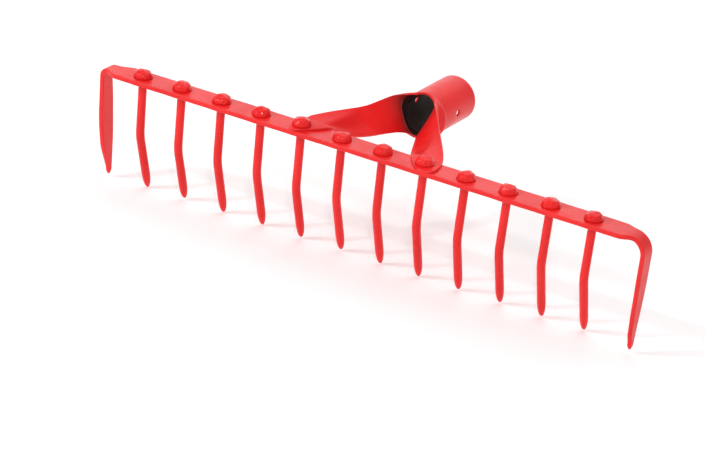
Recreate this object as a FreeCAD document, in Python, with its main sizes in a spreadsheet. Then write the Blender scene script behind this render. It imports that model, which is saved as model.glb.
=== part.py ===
import FreeCAD, Part
import math
import os

import Sketcher

# Riveted garden rake head: a flat bar whose two ends are bent down as end tines, twelve round tines
# riveted through the bar, and a sheet-steel bow socket whose two arms are clamped under tines 5 and 8.
# Millimetres. +X runs along the bar, +Y points from the bar to the handle, +Z is up.
# The origin is the centre of the socket's rear rim, where the handle goes in.

V = FreeCAD.Vector
Placement = FreeCAD.Placement
Rotation = FreeCAD.Rotation

SIZES = [
    ("tine_count", 12, "riveted tines between the two end tines"),
    ("tine_pitch", 31.0, "spacing of the riveted tines"),
    ("bar_width", 20.8, "flat bar, front to back"),
    ("bar_thickness", 3.1, "flat bar"),
    ("bar_left", 201.5, "middle of the bar to the outside of the left end tine"),
    ("bar_right", 211.5, "middle of the bar to the outside of the right end tine"),
    ("bend_left", 5.6, "outer radius of the left end bend"),
    ("bend_right", 13.0, "outer radius of the right end bend"),
    ("end_tine_depth", 81.5, "top of the bar to the points of the end tines"),
    ("shoulder_length", 10.5, "length over which the bar narrows to an end tine"),
    ("toe_in", 2.6, "degrees by which the end tines lean towards the middle"),
    ("shank_diameter", 5.8, "round tine"),
    ("tenon_diameter", 4.6, "tine where it goes through the bar"),
    ("tenon_root", 2.0, "length of the tenon inside the shank, below the bar"),
    ("head_diameter", 13.0, "peened head on top of the bar"),
    ("head_height", 5.6, "peened head"),
    ("kink_depth", 41.7, "top of the bar to the bend of a tine"),
    ("kink_angle", 18.6, "degrees by which the lower half of a tine points back"),
    ("kink_radius", 30.0, "bend radius of a tine"),
    ("shank_clearance", 0.15, "bar to the leaning shoulder of a tine"),
    ("tine_depth", 83.2, "top of the bar to the point of a round tine"),
    ("point_length", 11.0, "taper at a round tine's end"),
    ("point_radius", 0.9, "blunt end of a round tine"),
    ("socket_radius", 15.7, "socket tube, outside"),
    ("socket_wall", 1.6, "sheet of the socket and of its arms"),
    ("arm_sheet", 1.4, "sheet of the arms between tube and pad, stretched a little thinner"),
    ("socket_length", 43.0, "closed tube, from its front mouth to its rear rim"),
    ("socket_reach", 125.0, "middle line of the bar to the rear rim"),
    ("socket_drop", 1.6, "top of the bar down to the socket's axis"),
    ("seam_gap", 0.6, "butt seam along the underside of the tube"),
    ("mouth_radius", 10.5, "arch between the arms, seen from above"),
    ("mouth_bite", 1.3, "depth to which that arch runs into the closed tube"),
    ("nail_diameter", 4.4, "nail holes"),
    ("nail_right", 23.6, "rear rim to the right nail hole"),
    ("nail_left", 28.7, "rear rim to the left nail hole"),
    ("nail_left_rise", 12.0, "degrees by which the left hole is above the axis"),
    ("first_clamped_tine", 5, "tine that clamps the left arm; the right arm mirrors it"),
]

# Right arm, as sections parallel to the bar: distance behind the bar's middle line, upper edge (x, z),
# lower edge (x, z) and how far the sheet bows outwards between them. z is from the top of the bar.
# The first section lies within the wall of the tube, the last is where the flat pad begins, and the
# arm twists in between.
ARM_SECTIONS = [
    (84.0, (1.0, 13.25), (1.0, -16.45), 13.88),
    (80.5, (2.0, 13.2), (1.0, -16.4), 13.6),
    (76.0, (5.0, 13.5), (1.5, -15.8), 9.4),
]
# The arm's two ends in front of the tube: its neck, and the line where it lies flat on the bar.
ARM_NECK = (70.0, (14.0, 12.5), (3.5, -11.5))
ARM_FLAT = (11.5, (52.0, 0.8), (30.4, 0.8))
ARM_BULGE = 2.3
ARM_CURL = 2.4
NECK_BOW = 2.0
ARM_RUNS = 6


def arm_section(share):
    """Section at a share of the way from the neck to the flat end. The inner edge is straight in plan and
    the outer edge bulges. The outer edge comes down first and the inner edge rises last: the twist."""
    (neck_y, (outer_x, outer_z), (inner_x, inner_z)) = ARM_NECK
    (flat_y, (flat_outer_x, flat_z), (flat_inner_x, _)) = ARM_FLAT
    y = neck_y + (flat_y - neck_y) * share
    outer = (outer_x + (flat_outer_x - outer_x) * share + ARM_BULGE * 4 * share * (1 - share),
             flat_z + (outer_z - flat_z) * (1 - share) ** 2)
    inner = (inner_x + (flat_inner_x - inner_x) * share,
             flat_z + (inner_z - flat_z) * (1 - share ** 3))
    curled = share ** 2
    bow = NECK_BOW * (1 - share) ** 4 - ARM_CURL * 4 * curled * (1 - curled)
    return y, outer, inner, bow


ARM_SECTIONS += [arm_section(step / ARM_RUNS) for step in range(ARM_RUNS + 1)]
# Outline of the right pad in front of the last section, from the inner side round to the outer side.
PAD_OUTLINE = [(34.3, 4.0), (45.0, -9.9), (54.5, -9.9), (54.0, 0.0)]
PAD_CORNER = 3.0

doc = FreeCAD.newDocument("rake_head")
sheet = doc.addObject("Spreadsheet::Sheet", "dims")
for row, (alias, value, note) in enumerate(SIZES, start=1):
    sheet.set(f"A{row}", alias)
    sheet.set(f"B{row}", str(value))
    sheet.setAlias(f"B{row}", alias)
    sheet.set(f"C{row}", note)
doc.recompute()


def size(alias):
    """A number from the sheet."""
    return float(sheet.get(alias))


def at(obj, x="0", y="0", z="0"):
    """Place an object by expressions."""
    for axis, expression in (("x", x), ("y", y), ("z", z)):
        obj.setExpression(f"Placement.Base.{axis}", expression)


def on_bar(obj, x="0"):
    """Place a sub-part drawn about a point on top of the bar's middle line."""
    at(obj, x, "-dims.socket_reach", "dims.socket_drop")


class Outline:
    """A sketch on one of its body's origin planes, with sizes bound to the sheet."""

    def __init__(self, body, name, plane):
        self.sketch = body.newObject("Sketcher::SketchObject", name)
        support = next(f for f in body.Origin.OriginFeatures if f.Role == plane)
        self.sketch.AttachmentSupport = [(support, "")]
        self.sketch.MapMode = "FlatFace"

    def line(self, start, end, construction=False):
        segment = Part.LineSegment(V(*start, 0), V(*end, 0))
        return self.sketch.addGeometry(segment, construction)

    def arc(self, centre, radius, first, last):
        circle = Part.Circle(V(*centre, 0), V(0, 0, 1), radius)
        return self.sketch.addGeometry(Part.ArcOfCircle(circle, first, last), False)

    def circle(self, centre, radius):
        return self.sketch.addGeometry(Part.Circle(V(*centre, 0), V(0, 0, 1), radius), False)

    def fix(self, kind, *where):
        return self.sketch.addConstraint(Sketcher.Constraint(kind, *where))

    def bind(self, expression, value, kind, *where):
        index = self.fix(kind, *where, value)
        self.sketch.setExpression(f"Constraints[{index}]", expression)

    def polygon(self, points):
        """Closed outline of straight lines, joined end to end."""
        sides = [self.line(p, q) for p, q in zip(points, points[1:] + points[:1])]
        for side, following in zip(sides, sides[1:] + sides[:1]):
            self.fix("Coincident", side, 2, following, 1)
        return sides

    def pin_point(self, side, point, x_expression, y_expression):
        """Bind the start of a side to signed distances from the origin."""
        for kind, value, expression in (("DistanceX", point[0], x_expression),
                                        ("DistanceY", point[1], y_expression)):
            if value >= 0:
                self.bind(expression, value, kind, -1, 1, side, 1)
            else:
                self.bind(f"-({expression})", -value, kind, side, 1, -1, 1)

    def pinned_polygon(self, corners):
        """Closed outline whose corners are (x, y, x expression, y expression)."""
        sides = self.polygon([(x, y) for x, y, _, _ in corners])
        for side, (x, y, x_expression, y_expression) in zip(sides, corners):
            self.pin_point(side, (x, y), x_expression, y_expression)
        return sides


def new_body(name):
    body = doc.addObject("PartDesign::Body", name)
    body.Label = name
    return body


# ---- head bar ---------------------------------------------------------------------------------------

# Edges of the end tines at their bends, as y from the middle line of the bar.
SHOULDER_EDGES = {"front": -4.6, "back": 6.4}


def bar_side(outline, mirror, end_alias, bend_alias):
    """One bent end of the bar in front view: outer bend and leg, inner bend and leg."""
    thickness = size("bar_thickness")
    toe = math.radians(size("toe_in"))
    bend = size(bend_alias)
    centre = (mirror * (size(end_alias) - bend), -bend)
    depth = size("end_tine_depth")
    first, last = (-toe, math.pi / 2) if mirror > 0 else (math.pi / 2, math.pi + toe)
    lines = []
    arcs = []
    for radius in (bend, bend - thickness):
        arcs.append(outline.arc(centre, radius, first, last))
        leg_x = centre[0] + mirror * radius * math.cos(toe)
        leg_z = centre[1] - radius * math.sin(toe)
        foot = (leg_x - mirror * (depth + leg_z) * math.tan(toe), -depth)
        lines.append(outline.line((leg_x, leg_z), foot))
    leg_end = 1 if mirror > 0 else 2
    for arc, line in zip(arcs, lines):
        outline.fix("Tangent", arc, leg_end, line, 1)
    outline.fix("Coincident", arcs[0], 3, arcs[1], 3)
    outline.fix("Parallel", lines[0], lines[1])
    outline.bind(f"dims.{bend_alias}", bend, "Radius", arcs[0])
    outline.bind(f"dims.{bend_alias} - dims.bar_thickness", bend - thickness, "Radius", arcs[1])
    foot_line = outline.line(outline_end(outline, lines[0]), outline_end(outline, lines[1]))
    outline.fix("Coincident", lines[0], 2, foot_line, 1)
    outline.fix("Coincident", lines[1], 2, foot_line, 2)
    outline.fix("Horizontal", foot_line)
    outline.bind("dims.end_tine_depth", depth, "DistanceY", lines[0], 2, -1, 1)
    reach = size(end_alias) - bend
    places = (-1, 1, arcs[0], 3) if mirror > 0 else (arcs[0], 3, -1, 1)
    outline.bind(f"dims.{end_alias} - dims.{bend_alias}", reach, "DistanceX", *places)
    outline.bind(f"-90 - ({mirror}) * dims.toe_in", -math.pi / 2 - mirror * toe, "Angle", lines[0])
    return arcs


def outline_end(outline, index):
    end = outline.sketch.Geometry[index].EndPoint
    return end.x, end.y


def bar_profile(body):
    """Front view of the bent strip: a wide channel with its legs toed in."""
    outline = Outline(body, "bar_profile", "XZ_Plane")
    left = bar_side(outline, -1, "bar_left", "bend_left")
    right = bar_side(outline, 1, "bar_right", "bend_right")
    left_x = size("bend_left") - size("bar_left")
    right_x = size("bar_right") - size("bend_right")
    for which, height in ((0, 0.0), (1, -size("bar_thickness"))):
        flat = outline.line((left_x, height), (right_x, height))
        outline.fix("Tangent", left[which], 1, flat, 1)
        outline.fix("Tangent", right[which], 2, flat, 2)
        if which == 0:
            outline.fix("Horizontal", flat)
            outline.fix("PointOnObject", flat, 1, -1)
    return outline.sketch


def cut_with(body, name, outline, length_expression, backwards=False, both=False):
    pocket = body.newObject("PartDesign::Pocket", name)
    pocket.Profile = outline.sketch
    pocket.setExpression("Length", length_expression)
    pocket.Reversed = backwards
    pocket.Midplane = both
    doc.recompute()
    return pocket


def end_tine_waste(body, name, mirror, front, back, tip):
    """Side view of what is trimmed off one end: all but the tapered tine between front and back lines.

    front and back are the tine's edges as (y, depth) pairs from the bend down to its point.
    """
    half = "dims.bar_width / 2 + 1"
    wide = size("bar_width") / 2 + 1
    floor = size("end_tine_depth") + 1
    for part, edge, side in (("front", front, -1), ("back", back, 1)):
        outline = Outline(body, f"{name}_{part}", "YZ_Plane")
        corners = [(y, -depth, str(y), str(-depth)) for y, depth in edge + [tip]]
        corners.append((tip[0], -floor, str(tip[0]), "-dims.end_tine_depth - 1"))
        sign = "" if side > 0 else "-"
        corners.append((side * wide, -floor, f"{sign}({half})", "-dims.end_tine_depth - 1"))
        corners.append((side * wide, -edge[0][1], f"{sign}({half})", str(-edge[0][1])))
        outline.pinned_polygon(corners)
        cut_with(body, f"trim_{name}_{part}", outline, "dims.bar_right + 5", backwards=mirror > 0)


def shoulders(body, name, mirror, end_alias, bend_alias):
    """Plan view of the corners cut off where the bar narrows to an end tine."""
    inner = size(end_alias) - size(bend_alias) - size("shoulder_length") + 2
    outer = size(end_alias) + 1
    sign = "" if mirror > 0 else "-"
    inner_words = f"{sign}(dims.{end_alias} - dims.{bend_alias} - dims.shoulder_length + 2)"
    slope_words = f"{sign}(dims.{end_alias} - dims.{bend_alias} + 2)"
    outer_words = f"{sign}(dims.{end_alias} + 1)"
    slope_end = size(end_alias) - size(bend_alias) + 2
    wide = size("bar_width") / 2
    for part, side in (("front", -1), ("back", 1)):
        outline = Outline(body, f"shoulder_{name}_{part}", "XY_Plane")
        edge = SHOULDER_EDGES[part]
        mark = "" if side > 0 else "-"
        outline.pinned_polygon([
            (mirror * inner, side * wide, inner_words, f"{mark}(dims.bar_width / 2)"),
            (mirror * slope_end, edge, slope_words, str(edge)),
            (mirror * outer, edge, outer_words, str(edge)),
            (mirror * outer, side * (wide + 1), outer_words, f"{mark}(dims.bar_width / 2 + 1)"),
            (mirror * inner, side * (wide + 1), inner_words, f"{mark}(dims.bar_width / 2 + 1)"),
        ])
        cut_with(body, f"narrow_{name}_{part}", outline, "2 * dims.bend_right + 4", both=True)


def head_bar():
    body = new_body("head_bar")
    strip = body.newObject("PartDesign::Pad", "bar_strip")
    strip.Profile = bar_profile(body)
    strip.Midplane = True
    strip.setExpression("Length", "dims.bar_width")
    doc.recompute()
    shoulders(body, "left", -1, "bar_left", "bend_left")
    shoulders(body, "right", 1, "bar_right", "bend_right")
    front, back = SHOULDER_EDGES["front"], SHOULDER_EDGES["back"]
    end_tine_waste(body, "left", -1, front=[(front, 14.0), (-1.6, 46.0), (2.2, 64.0), (5.6, 73.0)],
                   back=[(back, 14.0), (8.6, 52.0), (9.4, 72.0)], tip=(8.6, size("end_tine_depth")))
    end_tine_waste(body, "right", 1, front=[(front, 14.0), (-1.4, 40.0), (-0.6, 68.0), (1.4, 77.0)],
                   back=[(back, 14.0), (6.2, 40.0), (4.9, 64.0), (4.4, 76.0)],
                   tip=(3.0, size("end_tine_depth")))
    hole_outline = Outline(body, "tenon_hole", "XY_Plane")
    first_x = -(size("tine_count") - 1) / 2 * size("tine_pitch")
    hole = hole_outline.circle((first_x, 0), size("tenon_diameter") / 2)
    hole_outline.bind("dims.tenon_diameter / 2", size("tenon_diameter") / 2, "Radius", hole)
    hole_outline.bind("(dims.tine_count - 1) / 2 * dims.tine_pitch", -first_x,
                      "DistanceX", hole, 3, -1, 1)
    hole_outline.fix("PointOnObject", hole, 3, -1)
    first_hole = cut_with(body, "tenon_hole_cut", hole_outline, "3 * dims.bar_thickness", both=True)
    row = body.newObject("PartDesign::LinearPattern", "tenon_holes")
    row.Originals = [first_hole]
    row.Direction = (hole_outline.sketch, ["H_Axis"])
    row.setExpression("Length", "(dims.tine_count - 1) * dims.tine_pitch")
    row.Occurrences = int(size("tine_count"))
    body.Tip = row
    on_bar(body)
    return body


# ---- round tines ------------------------------------------------------------------------------------

def tine_path(body, lean):
    """Centre line of the shank, in the tine's own plane: straight, bent back, straight to the point."""
    angle = math.radians(size("kink_angle"))
    radius = size("kink_radius")
    half_bend = radius * math.tan(angle / 2)
    top = -size("bar_thickness") - size("shank_clearance")
    bend_start = -(size("kink_depth") - half_bend)
    bend_end = (radius * (1 - math.cos(angle)), bend_start - radius * math.sin(angle))
    lower = (size("tine_depth") + bend_end[1]) / math.cos(angle) - size("point_length")
    end = (bend_end[0] + lower * math.sin(angle), bend_end[1] - lower * math.cos(angle))
    outline = Outline(body, "shank_path", "YZ_Plane")
    upper_line = outline.line((0, top), (0, bend_start))
    bend = outline.arc((radius, bend_start), radius, math.pi, math.pi + angle)
    lower_line = outline.line(bend_end, end)
    outline.fix("Tangent", upper_line, 2, bend, 1)
    outline.fix("Tangent", bend, 2, lower_line, 1)
    outline.fix("Vertical", upper_line)
    outline.fix("PointOnObject", upper_line, 1, -2)
    outline.bind("dims.bar_thickness + dims.shank_clearance", -top, "DistanceY", upper_line, 1, -1, 1)
    outline.bind("dims.kink_radius", radius, "Radius", bend)
    outline.bind("dims.kink_depth - dims.kink_radius * tan(dims.kink_angle / 2 * 1deg)", -bend_start,
                 "DistanceY", upper_line, 2, -1, 1)
    outline.bind("-90 + dims.kink_angle", angle - math.pi / 2, "Angle", lower_line)
    outline.bind("dims.tine_depth - dims.point_length * cos(dims.kink_angle * 1deg)", -end[1],
                 "DistanceY", lower_line, 2, -1, 1)
    tilt(outline.sketch, lean)
    return outline.sketch, end, angle


def tilt(sketch, lean):
    """Lean a sketch of the tine's plane sideways, about the bar's front-to-back direction."""
    sketch.AttachmentOffset = Placement(V(0, 0, 0), Rotation(V(1, 0, 0), 0))
    sketch.setExpression("AttachmentOffset.Rotation.Angle", lean)


def tine_head(body, seat):
    """Peened head and tenon, turned about the vertical axis. seat is the height that the head sits at.

    The tenon runs a little way into the shank below the bar.
    """
    head_radius = size("head_diameter") / 2
    height = size("head_height")
    tenon = size("tenon_diameter") / 2
    seat_height = size("socket_wall") if seat == "dims.socket_wall" else 0.0
    root = -size("bar_thickness") - size("tenon_root")
    sphere = (head_radius ** 2 + height ** 2) / (2 * height)
    centre_z = seat_height + height - sphere
    rim_angle = math.asin((seat_height - centre_z) / sphere)
    outline = Outline(body, "head_profile", "YZ_Plane")
    points = [(head_radius, seat_height), (tenon, seat_height), (tenon, root), (0, root),
              (0, seat_height + height)]
    sides = [outline.line(p, q) for p, q in zip(points, points[1:])]
    for side, following in zip(sides, sides[1:]):
        outline.fix("Coincident", side, 2, following, 1)
    for index in (0, 2):
        outline.fix("Horizontal", sides[index])
    for index in (1, 3):
        outline.fix("Vertical", sides[index])
    dome = outline.arc((0, centre_z), sphere, rim_angle, math.pi / 2)
    outline.fix("Coincident", dome, 1, sides[0], 1)
    outline.fix("Coincident", dome, 2, sides[-1], 2)
    outline.fix("PointOnObject", dome, 3, -2)
    outline.fix("PointOnObject", sides[2], 2, -2)
    outline.bind("dims.head_diameter / 2", head_radius, "DistanceX", -1, 1, sides[0], 1)
    outline.bind("dims.tenon_diameter / 2", tenon, "DistanceX", -1, 1, sides[1], 1)
    if seat_height:
        outline.bind(seat, seat_height, "DistanceY", -1, 1, sides[0], 1)
    else:
        outline.fix("PointOnObject", sides[0], 1, -1)
    outline.bind(f"{seat} + dims.head_height", seat_height + height, "DistanceY", -1, 1, sides[3], 2)
    outline.bind("dims.bar_thickness + dims.tenon_root", -root, "DistanceY", sides[2], 1, -1, 1)
    turned = body.newObject("PartDesign::Revolution", "head_turned")
    turned.Profile = outline.sketch
    turned.ReferenceAxis = (outline.sketch, ["V_Axis"])
    turned.Angle = 360
    doc.recompute()


def tine_point(body, lean, start, angle):
    """Blunt ogive at the end of the shank, turned about the lower half's own axis."""
    shank = size("shank_diameter") / 2
    blunt = size("point_radius")
    length = size("point_length")
    along = V(math.sin(angle), -math.cos(angle), 0)
    across = V(math.cos(angle), math.sin(angle), 0)

    def local(distance, radius):
        place = V(*start, 0) + along * distance + across * radius
        return place.x, place.y

    outline = Outline(body, "point_profile", "YZ_Plane")
    flank_top = local(0, shank)
    flank_end = local(length - blunt, blunt)
    middle = local(0.5 * length, 0.80 * shank)
    tip = local(length, 0)
    flank = outline.sketch.addGeometry(Part.Arc(V(*flank_top, 0), V(*middle, 0), V(*flank_end, 0)))
    cap_middle = local(length - blunt * (1 - math.sqrt(0.5)), blunt * math.sqrt(0.5))
    cap = outline.sketch.addGeometry(Part.Arc(V(*flank_end, 0), V(*cap_middle, 0), V(*tip, 0)))
    axis = outline.line(tip, start)
    base = outline.line(start, flank_top)
    outline.fix("Coincident", axis, 2, base, 1)
    for arc in (flank, cap, base):
        outline.fix("Block", arc)
    tilt(outline.sketch, lean)
    turned = body.newObject("PartDesign::Revolution", "point_turned")
    turned.Profile = outline.sketch
    turned.ReferenceAxis = (outline.sketch, [f"Edge{axis + 1}"])
    turned.Angle = 360
    doc.recompute()
    return turned


def tine(number):
    name = f"tine_{number:02d}"
    body = new_body(name)
    place = f"({number} - (dims.tine_count + 1) / 2) * dims.tine_pitch"
    lean = f"dims.toe_in * {place} / dims.bar_left"
    clamped = (size("first_clamped_tine"), size("tine_count") + 1 - size("first_clamped_tine"))
    tine_head(body, "dims.socket_wall" if number in clamped else "0")
    path, end, angle = tine_path(body, lean)
    section = Outline(body, "shank_section", "XY_Plane")
    radius = size("shank_diameter") / 2
    ring = section.circle((0, 0), radius)
    section.bind("dims.shank_diameter / 2", radius, "Radius", ring)
    section.fix("Coincident", ring, 3, -1, 1)
    section.sketch.AttachmentOffset = Placement(V(0, 0, 0), Rotation(V(0, 1, 0), 0))
    section.sketch.setExpression("AttachmentOffset.Rotation.Angle", lean)
    top = "-(dims.bar_thickness + dims.shank_clearance)"
    section.sketch.setExpression("AttachmentOffset.Base.x", f"{top} * sin({lean} * 1deg)")
    section.sketch.setExpression("AttachmentOffset.Base.z", f"{top} * cos({lean} * 1deg)")
    doc.recompute()
    shank = body.newObject("PartDesign::AdditivePipe", "shank")
    shank.Profile = section.sketch
    shank.Spine = path
    shank.Transition = "Right corner"
    doc.recompute()
    body.Tip = tine_point(body, lean, end, angle)
    on_bar(body, place)
    return body


# ---- bow socket -------------------------------------------------------------------------------------

ARC_STEPS = 8
# A section without any bow is drawn with this one, so that its arc has a centre.
FLAT_BOW = 0.01


def bow_points(upper, lower, bow, offset):
    """One face of an arm's sheet in one section: points on an arc from the upper to the lower edge."""
    start = V(upper[0], 0, upper[1])
    chord = V(lower[0], 0, lower[1]) - start
    along = V(chord).normalize()
    outwards = V(-along.z, 0, along.x)
    bow = bow or FLAT_BOW
    radius = (chord.Length ** 2 / 4 + bow ** 2) / (2 * bow)
    spread = 2 * math.atan(2 * bow / chord.Length)
    centre = start + chord * 0.5 + outwards * (bow - radius)
    points = []
    for step in range(ARC_STEPS + 1):
        angle = spread * (2 * step / ARC_STEPS - 1)
        normal = outwards * math.cos(angle) + along * math.sin(angle)
        points.append(centre + normal * (radius + offset))
    return points


def skin(rows, stations):
    """Smooth surface through rows of points, one row for each station along it."""
    steps = len(rows[0]) - 1
    across = Part.BSplineCurve()
    poles = []
    for row in rows:
        across.interpolate(Points=row, Parameters=[step / steps for step in range(steps + 1)])
        poles.append(across.getPoles())
    lengthwise = Part.BSplineCurve()
    columns = []
    for column in zip(*poles):
        lengthwise.interpolate(Points=list(column), Parameters=stations)
        columns.append(lengthwise.getPoles())
    surface = Part.BSplineSurface()
    surface.buildFromPolesMultsKnots(
        columns, across.getMultiplicities(), lengthwise.getMultiplicities(), across.getKnots(),
        lengthwise.getKnots(), False, False, across.Degree, lengthwise.Degree)
    return surface.toShape()


def twisted_sheet():
    """Closed solid between the outer and the inner face of the arm's sections."""
    half = size("arm_sheet") / 2
    stations = [ARM_SECTIONS[0][0] - section[0] for section in ARM_SECTIONS]
    outer = []
    inner = []
    for y, upper, lower, bow in ARM_SECTIONS:
        outer.append([p + V(0, y, 0) for p in bow_points(upper, lower, bow, half)])
        inner.append([p + V(0, y, 0) for p in bow_points(upper, lower, bow, -half)])
    faces = [skin(outer, stations), skin(inner, stations)]
    for end in (0, -1):
        faces.append(skin([[o[end], i[end]] for o, i in zip(outer, inner)], stations))
    for section in (0, -1):
        faces.append(section_cap(outer[section], inner[section]))
    shell = Part.makeShell(faces)
    shell.sewShape()
    solid = Part.makeSolid(shell)
    if solid.Volume < 0:
        solid.reverse()
    return solid


def section_cap(outer, inner):
    curves = []
    for points in (outer, inner):
        spline = Part.BSplineCurve()
        steps = len(points) - 1
        spline.interpolate(Points=points, Parameters=[step / steps for step in range(steps + 1)])
        curves.append(spline.toShape())
    ends = [Part.makeLine(outer[-1], inner[-1]), Part.makeLine(inner[0], outer[0])]
    return Part.Face(Part.Wire([curves[0], ends[0], curves[1], ends[1]]))


def arm_shape():
    """Right arm: the twisted sheet from the tube to the bar, and the flat pad on top of the bar."""
    last_y, outer, inner, _ = ARM_SECTIONS[-1]
    outline = [(outer[0], last_y), (inner[0], last_y)] + PAD_OUTLINE
    corners = [V(x, y, 0) for x, y in outline]
    plate = Part.Face(Part.makePolygon(corners + corners[:1])).extrude(V(0, 0, size("socket_wall")))
    front = [edge for edge in plate.Edges
             if abs(edge.tangentAt(0).z) > 0.9 and edge.CenterOfMass.y < PAD_OUTLINE[1][1] + 0.1]
    plate = plate.makeFillet(PAD_CORNER, front)
    return twisted_sheet().fuse(plate).removeSplitter()


def cylinder(name, radius, length, axis, angle, x="0", y="0", z="0"):
    """A Part::Cylinder turned by angle about axis, with its sizes bound to the sheet."""
    obj = doc.addObject("Part::Cylinder", name)
    obj.Placement = Placement(V(0, 0, 0), Rotation(axis, angle))
    obj.setExpression("Radius", radius)
    obj.setExpression("Height", length)
    at(obj, x, y, z)
    return obj


def combine(kind, name, first, others):
    if kind == "fuse":
        obj = doc.addObject("Part::MultiFuse", name)
        obj.Shapes = [first] + others
        obj.Refine = True
        return obj
    for index, tool in enumerate(others, start=1):
        obj = doc.addObject("Part::Cut", f"{name}_{index}")
        obj.Base = first
        obj.Tool = tool
        first = obj
    return first


def bow_socket():
    backwards = V(1, 0, 0)
    tube = cylinder("tube_skin", "dims.socket_radius", "dims.socket_length", backwards, 90)
    bore = cylinder("tube_bore", "dims.socket_radius - dims.socket_wall", "dims.socket_length + 4",
                    backwards, 90, y="2")
    seam = doc.addObject("Part::Box", "seam")
    seam.setExpression("Length", "dims.seam_gap")
    seam.setExpression("Width", "dims.socket_length + 10")
    seam.setExpression("Height", "2 * dims.socket_wall + 1")
    at(seam, "-dims.seam_gap / 2", "-dims.socket_length - 5", "-dims.socket_radius - 1")
    reach = "dims.socket_radius + 5"
    nail = "dims.nail_diameter / 2"
    nail_right = cylinder("nail_right", nail, reach, V(0, 1, 0), 90, y="-dims.nail_right")
    nail_left = cylinder("nail_left", nail, reach, V(0, 1, 0), size("nail_left_rise") - 90,
                         y="-dims.nail_left")
    mouth_y = "-dims.socket_length - dims.mouth_radius + dims.mouth_bite"
    mouth = cylinder("mouth_arch", "dims.mouth_radius", reach, V(0, 0, 1), 0, y=mouth_y)
    ring = combine("cut", "tube_ring", tube, [bore, seam, nail_right, nail_left])

    clamped_x = "((dims.tine_count + 1) / 2 - dims.first_clamped_tine) * dims.tine_pitch"
    rivet = cylinder("rivet_hole", "dims.tenon_diameter / 2", "10", V(0, 0, 1), 0, x=clamped_x,
                     y="-dims.socket_reach", z="-2")
    sheet_arm = doc.addObject("Part::Feature", "arm_sheet")
    sheet_arm.Shape = arm_shape()
    on_bar(sheet_arm)
    right = combine("cut", "arm_right", sheet_arm, [rivet])
    left = doc.addObject("Part::Mirroring", "arm_left")
    left.Source = right
    left.Normal = V(1, 0, 0)
    whole = combine("fuse", "socket_blank", ring, [right, left])
    socket = combine("cut", "socket_cut", whole, [mouth])
    socket.Label = "bow_socket"
    return socket


# ---- build, check and write -------------------------------------------------------------------------

subparts = [head_bar()]
subparts += [tine(number) for number in range(1, int(size("tine_count")) + 1)]
subparts.append(bow_socket())
doc.recompute()

failed = [obj.Label for obj in doc.Objects if "Invalid" in obj.State or "Error" in obj.State]
if failed:
    raise RuntimeError(f"failed objects: {failed}")
for obj in subparts:
    shape = obj.Shape
    if shape.isNull() or not shape.isValid() or len(shape.Solids) != 1:
        raise RuntimeError(f"{obj.Label}: bad shape, {len(shape.Solids)} solids")

os.makedirs("parts", exist_ok=True)
for obj in subparts:
    obj.Shape.exportStep(f"parts/{obj.Label}.step")
    box = obj.Shape.BoundBox
    print(f"{obj.Label}: volume {obj.Shape.Volume:.0f}, x {box.XMin:.1f}..{box.XMax:.1f}, "
          f"y {box.YMin:.1f}..{box.YMax:.1f}, z {box.ZMin:.1f}..{box.ZMax:.1f}")
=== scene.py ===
import bisect
import math
import random

import bmesh
import bpy
from mathutils import Matrix, Vector, noise


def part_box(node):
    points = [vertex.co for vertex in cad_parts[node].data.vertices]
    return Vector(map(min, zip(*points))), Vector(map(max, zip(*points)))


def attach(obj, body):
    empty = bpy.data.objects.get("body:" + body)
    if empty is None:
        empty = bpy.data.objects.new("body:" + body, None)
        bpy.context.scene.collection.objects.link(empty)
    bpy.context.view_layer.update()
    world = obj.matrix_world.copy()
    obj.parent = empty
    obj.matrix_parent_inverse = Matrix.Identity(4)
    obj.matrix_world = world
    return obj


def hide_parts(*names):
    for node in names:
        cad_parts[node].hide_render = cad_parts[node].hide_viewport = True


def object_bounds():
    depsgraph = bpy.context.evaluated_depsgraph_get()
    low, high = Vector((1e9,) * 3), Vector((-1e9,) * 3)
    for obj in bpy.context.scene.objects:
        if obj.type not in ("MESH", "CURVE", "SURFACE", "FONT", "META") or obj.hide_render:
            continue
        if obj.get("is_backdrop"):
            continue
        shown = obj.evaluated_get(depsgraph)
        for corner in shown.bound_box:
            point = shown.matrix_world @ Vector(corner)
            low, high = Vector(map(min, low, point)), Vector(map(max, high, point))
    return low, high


# Red enamelled rake head. Lengths in the tables are millimetres in the bar's frame: x along the bar,
# y from its middle line to the handle, z up from its top face. place() turns them into the row frame.

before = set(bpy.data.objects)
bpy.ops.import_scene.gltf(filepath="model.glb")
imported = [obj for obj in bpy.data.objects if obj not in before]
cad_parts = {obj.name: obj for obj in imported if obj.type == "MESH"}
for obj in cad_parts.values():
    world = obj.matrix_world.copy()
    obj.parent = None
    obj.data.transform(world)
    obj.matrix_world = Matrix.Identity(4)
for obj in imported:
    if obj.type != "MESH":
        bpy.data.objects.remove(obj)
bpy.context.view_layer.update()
bar_low, bar_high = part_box("head_bar")
BAR_Y = (bar_low[1] + bar_high[1]) / 2
BAR_Z = bar_high[2]
BAR_HALF = (bar_high[1] - bar_low[1]) / 2 * 1000
THICK = 3.1
TOE = math.radians(2.6)


def place(x, y, z):
    return Vector((x / 1000, BAR_Y + y / 1000, BAR_Z + z / 1000))


def ease(value, start, end):
    """0 at start, 1 at end, smooth between."""
    t = min(1.0, max(0.0, (value - start) / (end - start)))
    return t * t * (3 - 2 * t)


def wobble(seed, at, scale):
    """Slow seeded variation between about -1 and 1."""
    return noise.noise(Vector((at / scale, seed * 7.31, seed * 1.77))) * 1.6


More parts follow.
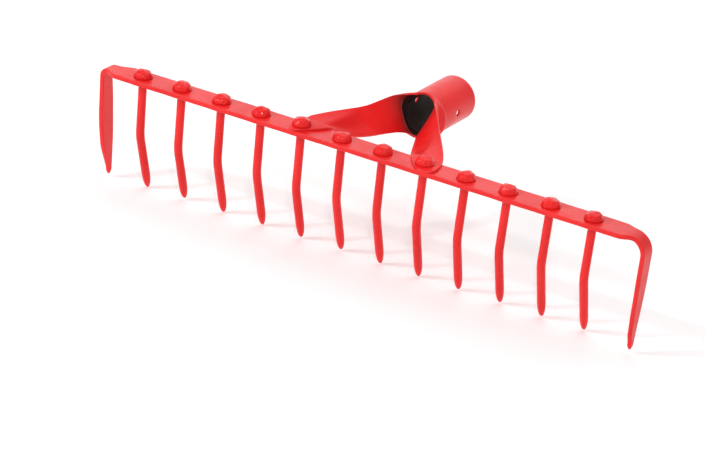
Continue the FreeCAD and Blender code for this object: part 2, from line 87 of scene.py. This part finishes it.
class Track:
    """A value that runs smoothly through (position, value) pairs without overshooting."""

    def __init__(self, pairs):
        pairs = sorted(pairs)
        self.at = [p[0] for p in pairs]
        self.value = [p[1] for p in pairs]
        steps = list(zip(self.at, self.at[1:], self.value, self.value[1:]))
        slope = [(v1 - v0) / (a1 - a0) for a0, a1, v0, v1 in steps]
        self.slope = [slope[0]]
        for before, after in zip(slope, slope[1:]):
            self.slope.append(0.0 if before * after <= 0 else 2 * before * after / (before + after))
        self.slope.append(slope[-1])

    def __call__(self, position):
        position = min(self.at[-1], max(self.at[0], position))
        i = min(len(self.at) - 2, max(0, bisect.bisect_right(self.at, position) - 1))
        width = self.at[i + 1] - self.at[i]
        t = (position - self.at[i]) / width
        return ((2 * t ** 3 - 3 * t ** 2 + 1) * self.value[i]
                + (t ** 3 - 2 * t ** 2 + t) * width * self.slope[i]
                + (3 * t ** 2 - 2 * t ** 3) * self.value[i + 1]
                + (t ** 3 - t ** 2) * width * self.slope[i + 1])


def new_object(name, points, faces):
    mesh = bpy.data.meshes.new(name)
    mesh.from_pydata([tuple(p) for p in points], [], faces)
    mesh.validate()
    mesh.shade_smooth()
    obj = bpy.data.objects.new(name, mesh)
    bpy.context.scene.collection.objects.link(obj)
    return obj


def loft(name, loops):
    """Closed skin over loops of equal length, with a fan of triangles at each end."""
    count = len(loops[0])
    points = [p for loop in loops for p in loop]
    faces = []
    for row in range(len(loops) - 1):
        for i in range(count):
            j = (i + 1) % count
            faces.append((row * count + i, row * count + j, (row + 1) * count + j, (row + 1) * count + i))
    for row, flip in ((0, True), (len(loops) - 1, False)):
        points.append(sum(loops[row], Vector()) / count)
        for i in range(count):
            pair = (row * count + i, row * count + (i + 1) % count)
            faces.append((pair[::-1] if flip else pair) + (len(points) - 1,))
    return new_object(name, points, faces)


def face_outwards(obj):
    work = bmesh.new()
    work.from_mesh(obj.data)
    bmesh.ops.recalc_face_normals(work, faces=work.faces)
    work.to_mesh(obj.data)
    work.free()


def apply_modifiers(obj):
    """Keep what the modifiers make as the object's own mesh."""
    bpy.context.view_layer.update()
    evaluated = obj.evaluated_get(bpy.context.evaluated_depsgraph_get())
    mesh = bpy.data.meshes.new_from_object(evaluated)
    obj.modifiers.clear()
    obj.data = mesh


def finish_piece(obj, materials, *nodes):
    obj.data.materials.clear()
    for material in materials:
        obj.data.materials.append(material)
    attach(obj, "root")
    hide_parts(*nodes)


# ---- materials --------------------------------------------------------------------------------------

class Nodes:
    """Short forms for building a node tree."""

    def __init__(self, name):
        self.material = bpy.data.materials.new(name)
        self.material.use_nodes = True
        self.tree = self.material.node_tree
        self.shader = self.tree.nodes["Principled BSDF"]
        self.where = self.add("ShaderNodeTexCoord").outputs["Object"]

    def add(self, kind, **settings):
        node = self.tree.nodes.new(kind)
        for key, value in settings.items():
            setattr(node, key, value)
        return node

    def join(self, source, target):
        self.tree.links.new(source, target)

    def noise(self, scale, detail=3.0, rough=0.5):
        node = self.add("ShaderNodeTexNoise")
        node.inputs["Scale"].default_value = scale
        node.inputs["Detail"].default_value = detail
        node.inputs["Roughness"].default_value = rough
        self.join(self.where, node.inputs["Vector"])
        return node.outputs["Fac"]

    def spread(self, source, low, high, to_low=0.0, to_high=1.0):
        node = self.add("ShaderNodeMapRange", interpolation_type="SMOOTHSTEP")
        for key, value in (("From Min", low), ("From Max", high), ("To Min", to_low), ("To Max", to_high)):
            node.inputs[key].default_value = value
        self.join(source, node.inputs["Value"])
        return node.outputs["Result"]

    def blend(self, factor, first, second):
        node = self.add("ShaderNodeMix", data_type="RGBA")
        self.join(factor, node.inputs["Factor"])
        for key, value in (("A", first), ("B", second)):
            socket = next(s for s in node.inputs if s.name == key and s.type == "RGBA")
            if isinstance(value, tuple):
                socket.default_value = (*value, 1.0)
            else:
                self.join(value, socket)
        return next(s for s in node.outputs if s.type == "RGBA")

    def math(self, operation, first, second):
        node = self.add("ShaderNodeMath", operation=operation)
        for socket, value in zip(node.inputs, (first, second)):
            if isinstance(value, (int, float)):
                socket.default_value = value
            else:
                self.join(value, socket)
        return node.outputs[0]

    def bump(self, height, strength, distance, before=None):
        node = self.add("ShaderNodeBump")
        node.inputs["Strength"].default_value = strength
        node.inputs["Distance"].default_value = distance
        self.join(height, node.inputs["Height"])
        if before:
            self.join(before, node.inputs["Normal"])
        return node.outputs["Normal"]


def enamel(name, inside=False, hammered_head=False):
    """Sprayed red enamel: slow colour drift, a painted highlight on convex edges, painted shade in concave
    corners and creases, orange peel.

    inside is for the face of the rolled sheet that the spray hardly reached: unpainted steel in the tube,
    darkened further with painted shade.
    hammered_head is for the rivet heads, glossier and pitted by the hammer.
    """
    n = Nodes(name)
    colour = n.blend(n.spread(n.noise(22.0), 0.32, 0.68), (0.71, 0.010, 0.010), (0.80, 0.016, 0.016))
    colour = n.blend(n.spread(n.noise(260.0, 4.0, 0.6), 0.55, 0.80, 0.0, 0.35), colour, (0.60, 0.007, 0.007))
    bend = n.add("ShaderNodeNewGeometry").outputs["Pointiness"]
    # Painted shade: concave corners and creases are darkened towards a deep red.
    colour = n.blend(n.spread(bend, 0.38, 0.47, 0.40, 0.0), colour, (0.36, 0.005, 0.006))
    # Painted highlight: convex edges are lightened towards pink.
    colour = n.blend(n.spread(bend, 0.60, 0.74, 0.0, 0.30), colour, (0.88, 0.10, 0.10))
    dull, bright = (0.24, 0.12) if hammered_head else (0.41, 0.27)
    rough = n.spread(n.noise(75.0, 4.0), 0.3, 0.7, bright, dull)
    if inside:
        # Unpainted steel inside the tube, made darker still as painted shade for the shadowed interior,
        # fading out along the arms.
        split = n.add("ShaderNodeSeparateXYZ")
        n.join(n.where, split.inputs[0])
        edge = n.math("ADD", split.outputs["Y"], n.math("MULTIPLY", n.noise(70.0, 4.0), 0.010))
        shade_and_bare_mask = n.spread(edge, -0.064, -0.038)
        bare_steel_and_shade = n.blend(n.noise(190.0, 4.0), (0.030, 0.014, 0.012), (0.065, 0.028, 0.022))
        colour = n.blend(shade_and_bare_mask, colour, bare_steel_and_shade)
        rough = n.math("ADD", rough, n.math("MULTIPLY", shade_and_bare_mask, 0.25))
    n.join(colour, n.shader.inputs["Base Color"])
    n.join(rough, n.shader.inputs["Roughness"])
    uneven = n.bump(n.noise(120.0, 2.0), 0.22, 0.0004)
    if hammered_head:
        uneven = n.bump(n.noise(430.0, 1.0), 0.55, 0.0006, uneven)
    n.join(n.bump(n.noise(850.0, 2.0), 0.10, 0.0002, uneven), n.shader.inputs["Normal"])
    n.shader.inputs["Specular IOR Level"].default_value = 0.12 if inside else 0.28
    n.shader.inputs["Coat Weight"].default_value = 0.0 if inside else 0.06
    n.shader.inputs["Coat Roughness"].default_value = 0.16
    n.shader.inputs["IOR"].default_value = 1.5
    return n.material


RED = enamel("red_enamel")
RED_INSIDE = enamel("red_enamel_inside", inside=True)
RED_HEAD = enamel("red_enamel_head", hammered_head=True)


# ---- head bar ---------------------------------------------------------------------------------------

# Edges of the end tines: y by depth below the top of the bar.
LEFT_FRONT = Track([(4, -5), (31, -4.5), (54, -1.5), (76, 7.5)])
LEFT_BACK = Track([(4, 6), (31, 9), (62, 10.6), (76, 10.6)])
RIGHT_FRONT = Track([(4, -5), (40, -3.5), (68, -1.5), (76, 1)])
RIGHT_BACK = Track([(4, 7), (30, 7.3), (76, 4.5)])
# Where the bar starts and stops narrowing, from the start of its end bend, at its front and back edges.
SHOULDERS = {-1: ((-8.5, 1.5), (-13.5, -1.5)), 1: ((-4.5, 6.5), (-8.5, 1.5))}
CORNER = 0.55


def bar_section(front, back, thick):
    """Rounded oblong as (y, height over the strip's middle), with loops close to its corners."""
    half = thick / 2
    round_ = min(CORNER, half * 0.8, (back - front) * 0.3)
    points = []
    for sign_y, sign_z, first in ((1, 1, 0), (-1, 1, 90), (-1, -1, 180), (1, -1, 270)):
        y = (back if sign_y > 0 else front) - sign_y * round_
        for step in range(4):
            angle = math.radians(first + step * 30)
            points.append((y + round_ * math.cos(angle), sign_z * (half - round_) + round_ * math.sin(angle)))
        if first in (0, 180):
            near, far = (back - round_, front + round_) if first == 0 else (front + round_, back - round_)
            for share in (0.04, 0.28, 0.5, 0.72, 0.96):
                points.append((near + (far - near) * share, sign_z * half))
    return points


def bar_half(side, reach, bend, front_of, back_of):
    """Loops from the middle of the bar round the bend to the foot of one end tine."""
    middle = bend - THICK / 2
    centre = (side * (reach - bend), -bend)
    depth_end = -(bar_low[2] - BAR_Z) * 1000 - 1.4
    stations = []
    flat = reach - bend
    steps = 62
    for step in range(steps):
        stations.append((side * flat * step / steps, -THICK / 2, Vector((0, 0, 1))))
    for step in range(15):
        angle = math.pi / 2 - (math.pi / 2 + TOE) * step / 14
        out = Vector((side * math.cos(angle), 0, math.sin(angle)))
        stations.append((centre[0] + out.x * middle, centre[1] + out.z * middle, out))
    last_x, last_z, out = stations[-1]
    for step in range(1, 41):
        share = step / 40
        depth = -last_z + (depth_end + last_z) * (1 - (1 - share) ** 1.35)
        stations.append((last_x - side * (depth + last_z) * math.tan(TOE), -depth, out))
    loops = []
    for x, z, out in stations:
        on_leg = z < -bend * 1.01
        (front_from, front_to), (back_from, back_to) = SHOULDERS[side]
        front_in = 1.0 if on_leg else ease(abs(x), flat + front_from, flat + front_to)
        back_in = 1.0 if on_leg else ease(abs(x), flat + back_from, flat + back_to)
        shoulder = min(front_in, back_in)
        front = -BAR_HALF * (1 - front_in) + front_of(-z) * front_in
        back = BAR_HALF * (1 - back_in) + back_of(-z) * back_in
        spread_by_rivet = max(0.0, math.cos((x - 15.5) / 31 * 2 * math.pi)) ** 6 * 0.22 * (1 - shoulder)
        front -= spread_by_rivet + 0.14 * wobble(1 + side, x - z, 9.0) * (1 - shoulder * 0.4)
        back += spread_by_rivet + 0.14 * wobble(4 + side, x - z, 9.0) * (1 - shoulder * 0.4)
        front = max(front, -BAR_HALF - 0.4)
        back = min(back, BAR_HALF + 0.6)
        blunt = math.sqrt(max(0.0, 1 - ease(-z, depth_end - 3.6, depth_end + 0.25)))
        centre_y = (front + back) / 2
        half_width = (back - front) / 2 * (0.28 + 0.72 * blunt)
        section = bar_section(centre_y - half_width, centre_y + half_width, THICK * (0.45 + 0.55 * blunt))
        loop = []
        for y, rise in section:
            rise += 0.05 * wobble(9, x + y * 1.7 + z, 14.0)
            loop.append(place(x + out.x * rise, y, z + out.z * rise))
        loops.append(loop)
    return loops


def head_bar():
    left = bar_half(-1, -bar_low[0] * 1000, 5.6, LEFT_FRONT, LEFT_BACK)
    right = bar_half(1, bar_high[0] * 1000 - 0.8, 13.0, RIGHT_FRONT, RIGHT_BACK)
    bar = loft("bar_bent_strip", left[:0:-1] + right)
    face_outwards(bar)
    finish_piece(bar, [RED], "head_bar")


# ---- tines ------------------------------------------------------------------------------------------

SIDES = 48
HEAD = [(6.6 * math.cos(turn) ** 0.6, 5.9 * math.sin(turn) ** 0.85)
        for turn in (math.radians(88 - 8 * step) for step in range(12))]
SHANK = 2.9
TENON = 2.3
LEAN_AT_END = 2.6
BAR_REACH = 201.5
KINK_ANGLE = 18.6
KINK_RADIUS = 30.0
KINK_DEPTH = 41.7
POINT = 11.5


def hammered(point, cuts):
    """A point of a head pressed back behind each hammer flat."""
    for normal, depth in cuts:
        over = point.dot(normal) - depth
        if over > 0:
            point = point - normal * over * 0.92
    return point


def hammer_flats(pick):
    """Flats round the side and over the shoulder of a peened head."""
    cuts = []
    for count, rise, depth in ((10, 12, 6.15), (8, 42, 6.2), (4, 72, 5.5)):
        start = pick.uniform(0, 360)
        for i in range(count):
            turn = math.radians(start + (i + pick.uniform(-0.22, 0.22)) * 360 / count)
            tilt = math.radians(rise + pick.uniform(-8, 8))
            level = math.cos(tilt)
            normal = Vector((math.cos(turn) * level, math.sin(turn) * level, math.sin(tilt)))
            cuts.append((normal, depth + pick.uniform(-0.22, 0.16)))
    return cuts


def ring(centre, across, over, radius):
    return [centre + across * (math.cos(a) * radius) + over * (math.sin(a) * radius)
            for a in (2 * math.pi * i / SIDES for i in range(SIDES))]


def tine(number):
    pick = random.Random(number)
    low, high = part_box(f"tine_{number:02d}")
    x = (low[0] + high[0]) / 2 * 1000
    depth_end = (BAR_Z - low[2]) * 1000 - pick.uniform(0, 1.2)
    clamped = high[2] - BAR_Z > 0.0058
    seat = 1.6 if clamped else 0.0
    loops = []
    cuts = hammer_flats(pick)
    for radius, height in HEAD:
        loop = ring(Vector((0, 0, height)), Vector((1, 0, 0)), Vector((0, 1, 0)), radius)
        if height > 0.3:
            loop = [hammered(p, cuts) for p in loop]
        loops.append([place(x + p.x, p.y, p.z + seat) for p in loop])
    for radius, height in ((TENON, seat - 0.02), (TENON, -THICK + 0.05)):
        tenon = ring(Vector((x, 0, height)), Vector((1, 0, 0)), Vector((0, 1, 0)), radius)
        loops.append([place(*p) for p in tenon])

    lean = math.radians(LEAN_AT_END * x / BAR_REACH + pick.uniform(-0.5, 0.5))
    bend = math.radians(KINK_ANGLE + pick.uniform(-0.4, 0.6))
    radius = KINK_RADIUS
    half_bend = radius * math.tan(bend / 2)
    straight = KINK_DEPTH + pick.uniform(0, 2.2) - half_bend
    down = Vector((-math.sin(lean), 0, -math.cos(lean)))
    side = Vector((math.cos(lean), 0, -math.sin(lean)))
    back = Vector((0, 1, 0))
    stations = [(THICK + 0.02, 3.25), (THICK + 0.5, 3.05), (THICK + 1.2, SHANK)]
    bend_drop = radius * math.sin(bend)
    lower = (depth_end / math.cos(lean) - straight - bend_drop) / math.cos(bend)
    total = straight + radius * bend + lower
    steps = 46
    stations += [(THICK + 1.2 + (total - POINT - THICK - 1.2) * i / steps, SHANK)
                 for i in range(1, steps + 1)]
    for i in range(1, 17):
        share = i / 16
        gap = POINT * (1 - share)
        thick = max(0.3, SHANK * math.sqrt(1 - (1 - gap / POINT) ** 2.1) * 0.97 + 0.02)
        stations.append((total - gap, thick))
    for along, thick in stations:
        if along <= straight:
            centre, turn = down * along, 0.0
        elif along <= straight + radius * bend:
            turn = (along - straight) / radius
            centre = down * (straight + radius * math.sin(turn)) + back * (radius * (1 - math.cos(turn)))
        else:
            turn = bend
            rest = along - straight - radius * bend
            centre = (down * (straight + bend_drop + rest * math.cos(bend))
                      + back * (radius * (1 - math.cos(bend)) + rest * math.sin(bend)))
        over = back * math.cos(turn) - down * math.sin(turn)
        thick *= 1 + 0.018 * wobble(number, along, 8.0)
        loops.append([place(x + p.x, p.y, p.z) for p in ring(centre, side, over, thick)])
    obj = loft(f"tine_{number:02d}_peened", loops)
    face_outwards(obj)
    finish_piece(obj, [RED, RED_HEAD], f"tine_{number:02d}")
    for face in obj.data.polygons:
        if face.center.z > BAR_Z + (seat + 0.4) / 1000:
            face.material_index = 1


# ---- bow socket -------------------------------------------------------------------------------------

# The middle of the sheet, right half, by y. The upper edge becomes the pad's outer edge, the lower edge
# its inner edge, and the fold parts the pad from the flank.
MOUTH_Y = 82
NECK_Y = 70
NECK_X = 14.0
UPPER_X = Track([(NECK_Y, NECK_X), (50, 29), (17, 51), (10, 54.2), (-3, 57), (-10.2, 56.6)])
UPPER_Z = Track([(MOUTH_Y, 13.3), (80, 12.4), (NECK_Y, 12.4), (50, 5.2), (30, 2.6), (11, 0.8), (-10.2, 0.8)])
LOWER_X = Track([(MOUTH_Y, 0.3), (77, 0.4), (NECK_Y, 3.4), (4, 34.2), (-10.2, 46)])
LOWER_Z = Track([(MOUTH_Y, -16.5), (76, -16), (68, -12), (60, -10.3), (35, -9), (12, -1), (10.6, 0.8),
                 (-10.2, 0.8)])
FOLD_X = Track([(47, 31.2), (31, 33.2), (6, 38.2), (-10.2, 48)])
FOLD_Z = Track([(47, 4.4), (39, 2.3), (0, 1), (-10.2, 0.8)])
SHEET = 1.5
AXIS_Z = -1.6
WALL_RADIUS = 14.9
COLUMNS = 44


def upper_x(y):
    """The mouth between the arms is a parabola as far as the neck."""
    if y > NECK_Y:
        return NECK_X * math.sqrt((MOUTH_Y - y) / (MOUTH_Y - NECK_Y))
    return UPPER_X(y)


def bow_at(y):
    """How far the sheet stands out between its edges: half round at the tube, a little hollow in the arm."""
    return WALL_RADIUS * ease(y, 66, MOUTH_Y) ** 1.2 - 0.85 * ease(y, 66, 56) * ease(y, 11, 30)


def along_fold(upper, fold, lower, share):
    """Point on the run from the upper edge over a rounded fold to the lower edge."""
    first = (fold - upper).length
    second = (lower - fold).length
    here = share * (first + second)
    rounding = min(1.7, first * 0.9 + 0.01, second * 0.9 + 0.01)
    if here < first - rounding:
        return upper.lerp(fold, here / first)
    if here > first + rounding:
        part = (here - first) / second
        sag = 1.1 * math.sin(math.pi * part) ** 2 * ease(second, 6, 16)
        return fold.lerp(lower, part) + Vector((sag * 0.6, 0, -sag * 0.8))
    t = (here - first + rounding) / (2 * rounding)
    start = fold + (upper - fold).normalized() * rounding
    end = fold + (lower - fold).normalized() * rounding
    return start * (1 - t) ** 2 + fold * (2 * t * (1 - t)) + end * t ** 2


def sheet_point(y, share, narrower, fold_strength):
    """Middle of the sheet, right half, at y and at a share of the way from the upper to the lower edge."""
    if y >= MOUTH_Y:
        gap = 0.3 / WALL_RADIUS
        angle = math.pi / 2 - share * (math.pi - gap)
        return Vector((WALL_RADIUS * math.cos(angle), y, AXIS_Z + WALL_RADIUS * math.sin(angle)))
    upper = Vector((upper_x(y) - narrower * ease(y, 19, 8), 0, UPPER_Z(y)))
    lower = Vector((LOWER_X(y), 0, LOWER_Z(y)))
    if y < -6.2:
        corner = 4.0 - math.sqrt(max(0.0, 16.0 - (-6.2 - y) ** 2))
        upper.x -= corner
        lower.x += corner * 0.5
    chord = lower - upper
    out = Vector((-chord.z, 0, chord.x)).normalized()
    bow = bow_at(y)
    if abs(bow) < 0.02:
        arc = upper.lerp(lower, share)
    else:
        radius = (chord.length ** 2 / 4 + bow ** 2) / (2 * bow)
        spread = 2 * math.atan(2 * bow / chord.length)
        angle = spread * (2 * share - 1)
        centre = (upper + lower) / 2 + out * (bow - radius)
        arc = centre + out * (radius * math.cos(angle)) + chord.normalized() * (radius * math.sin(angle))
    folded = ease(y, 48, 43.5) * (fold_strength + (1 - fold_strength) * ease(y, 15, 7))
    point = arc
    if folded > 0:
        fold = Vector((FOLD_X(y), 0, FOLD_Z(y)))
        point = arc.lerp(along_fold(upper, fold, lower, share), folded)
    point.y = y
    return point


def sheet_rows():
    rows = [125 - i * 43 / 30 for i in range(31)]
    rows += [81.95, 81.85, 81.7, 81.45, 81.1, 80.6, 80, 79.2, 78.2]
    y = 77.2
    while y > -8.6:
        rows.append(y)
        y -= 1.0
    return rows + [-8.8, -9.3, -9.7, -10.0, -10.2]


def half_grid(mirror, narrower, fold_strength):
    points = []
    for y in sheet_rows():
        for column in range(COLUMNS + 1):
            p = sheet_point(y, column / COLUMNS, narrower, fold_strength)
            dent = 0.10 * noise.noise(Vector((p.x * 0.09, p.y * 0.07, p.z * 0.09 + 40 * mirror)))
            if 14 < y < MOUTH_Y:
                p.z += dent
            points.append(place(mirror * p.x, p.y, p.z))
    return points


def cutter(turn, y):
    """Punch for a nail hole, flared where it leaves the outside of the tube."""
    along = Vector((math.cos(turn), 0, math.sin(turn)))
    over = Vector((-math.sin(turn), 0, math.cos(turn)))
    loops = []
    for out, radius in ((11.0, 2.2), (15.1, 2.2), (15.7, 2.5), (17.0, 3.6)):
        centre = along * out + Vector((0, y, AXIS_Z))
        loops.append([place(*p) for p in ring(centre, Vector((0, 1, 0)), over, radius)])
    obj = loft("punch", loops)
    face_outwards(obj)
    return obj


def bow_socket():
    rows = len(sheet_rows())
    width = COLUMNS + 1
    points = []
    faces = []
    for mirror, narrower, fold_strength in ((1, 0.0, 0.15), (-1, 5.0, 1.0)):
        start = len(points)
        points += half_grid(mirror, narrower, fold_strength)
        for r in range(rows - 1):
            for c in range(COLUMNS):
                a = start + r * width + c
                quad = (a, a + 1, a + width + 1, a + width)
                faces.append(quad[::-1] if mirror > 0 else quad)
    obj = new_object("bow_socket_sheet", points, faces)
    work = bmesh.new()
    work.from_mesh(obj.data)
    top = [v for v in work.verts if abs(v.co.x) < 1e-6]
    bmesh.ops.remove_doubles(work, verts=top, dist=1e-6)
    work.to_mesh(obj.data)
    work.free()

    sheet = obj.modifiers.new("sheet", "SOLIDIFY")
    sheet.thickness = SHEET / 1000
    sheet.offset = 0.0
    sheet.use_even_offset = True
    sheet.material_offset = 1
    edges = obj.modifiers.new("rolled_edges", "BEVEL")
    edges.width = 0.0004
    edges.segments = 3
    edges.limit_method = "ANGLE"
    edges.angle_limit = math.radians(50)
    obj.data.materials.append(RED)
    obj.data.materials.append(RED_INSIDE)
    apply_modifiers(obj)
    punches = [cutter(0.0, 101.4), cutter(math.radians(168), 96.3)]
    for punch in punches:
        hole = obj.modifiers.new("nail_hole", "BOOLEAN")
        hole.object = punch
        hole.operation = "DIFFERENCE"
        hole.solver = "EXACT"
    apply_modifiers(obj)
    for punch in punches:
        bpy.data.objects.remove(punch, do_unlink=True)
    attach(obj, "root")
    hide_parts("bow_socket")


head_bar()
for tine_number in range(1, 13):
    tine(tine_number)
bow_socket()


# ---- floor, light and camera ------------------------------------------------------------------------

def floor():
    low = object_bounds()[0]
    count = 24
    reach = 6.0
    height = low[2] - 0.0004
    points = [Vector((-reach + 2 * reach * i / count, -reach + 2 * reach * j / count, height))
              for j in range(count + 1) for i in range(count + 1)]
    row = count + 1
    faces = [(j * row + i, j * row + i + 1, (j + 1) * row + i + 1, (j + 1) * row + i)
             for j in range(count) for i in range(count)]
    obj = new_object("floor", points, faces)
    n = Nodes("pale_floor")
    n.join(n.blend(n.spread(n.noise(3.0), 0.3, 0.7), (0.96, 0.96, 0.96), (0.98, 0.98, 0.98)),
           n.shader.inputs["Base Color"])
    n.shader.inputs["Roughness"].default_value = 0.75
    obj.data.materials.append(n.material)
    obj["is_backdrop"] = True


def softbox(name, location, target, size_x, size_y, power):
    light = bpy.data.lights.new(name, "AREA")
    light.shape = "RECTANGLE"
    light.size = size_x
    light.size_y = size_y
    light.energy = power
    obj = bpy.data.objects.new(name, light)
    bpy.context.scene.collection.objects.link(obj)
    obj.location = location
    obj.rotation_euler = (Vector(target) - Vector(location)).to_track_quat("-Z", "Y").to_euler()


def camera():
    """At the reference's angle: azimuth, elevation and a slight roll, from far off with a long lens."""
    turn, rise, roll = (math.radians(a) for a in (27.84, 23.08, 6.42))
    target = Vector((0.0, BAR_Y, -0.06153))
    back = Vector((math.sin(turn) * math.cos(rise), -math.cos(turn) * math.cos(rise), math.sin(rise)))
    right = Vector((math.cos(turn), math.sin(turn), 0))
    up = back.cross(right)
    right_rolled = right * math.cos(roll) + up * math.sin(roll)
    up_rolled = up * math.cos(roll) - right * math.sin(roll)
    data = bpy.data.cameras.new("camera")
    data.sensor_width = 36.0
    data.lens = 214.3
    data.clip_end = 50.0
    obj = bpy.data.objects.new("camera", data)
    bpy.context.scene.collection.objects.link(obj)
    turned = Matrix((right_rolled, up_rolled, back)).transposed().to_4x4()
    obj.matrix_world = Matrix.Translation(target + back * 2.756) @ turned
    bpy.context.scene.camera = obj


def light():
    world = bpy.data.worlds.new("studio")
    world.use_nodes = True
    shade = world.node_tree.nodes["Background"]
    shade.inputs["Color"].default_value = (1.0, 1.0, 1.0, 1.0)
    shade.inputs["Strength"].default_value = 0.60
    bpy.context.scene.world = world
    bpy.context.scene.view_settings.view_transform = "Standard"
    softbox("overhead", (0.1, 0.5, 1.5), (0, -0.1, 0), 1.6, 1.2, 6.5)
    softbox("front_left", (-1.1, -1.5, 1.0), (0, -0.1, 0), 0.9, 0.9, 11)
    softbox("right", (1.7, -0.2, 0.7), (0, -0.1, 0), 0.8, 0.8, 1.5)
    softbox("behind", (-0.95, 1.7, 0.9), (0, -0.1, 0), 3.0, 1.7, 10)
    softbox("catch_left", (-0.9, -1.3, 1.5), (0, -0.1, 0), 0.10, 0.10, 7.0)
    softbox("catch_right", (0.9, -1.7, 1.2), (0, -0.1, 0), 0.10, 0.10, 7.0)


floor()
camera()
light()
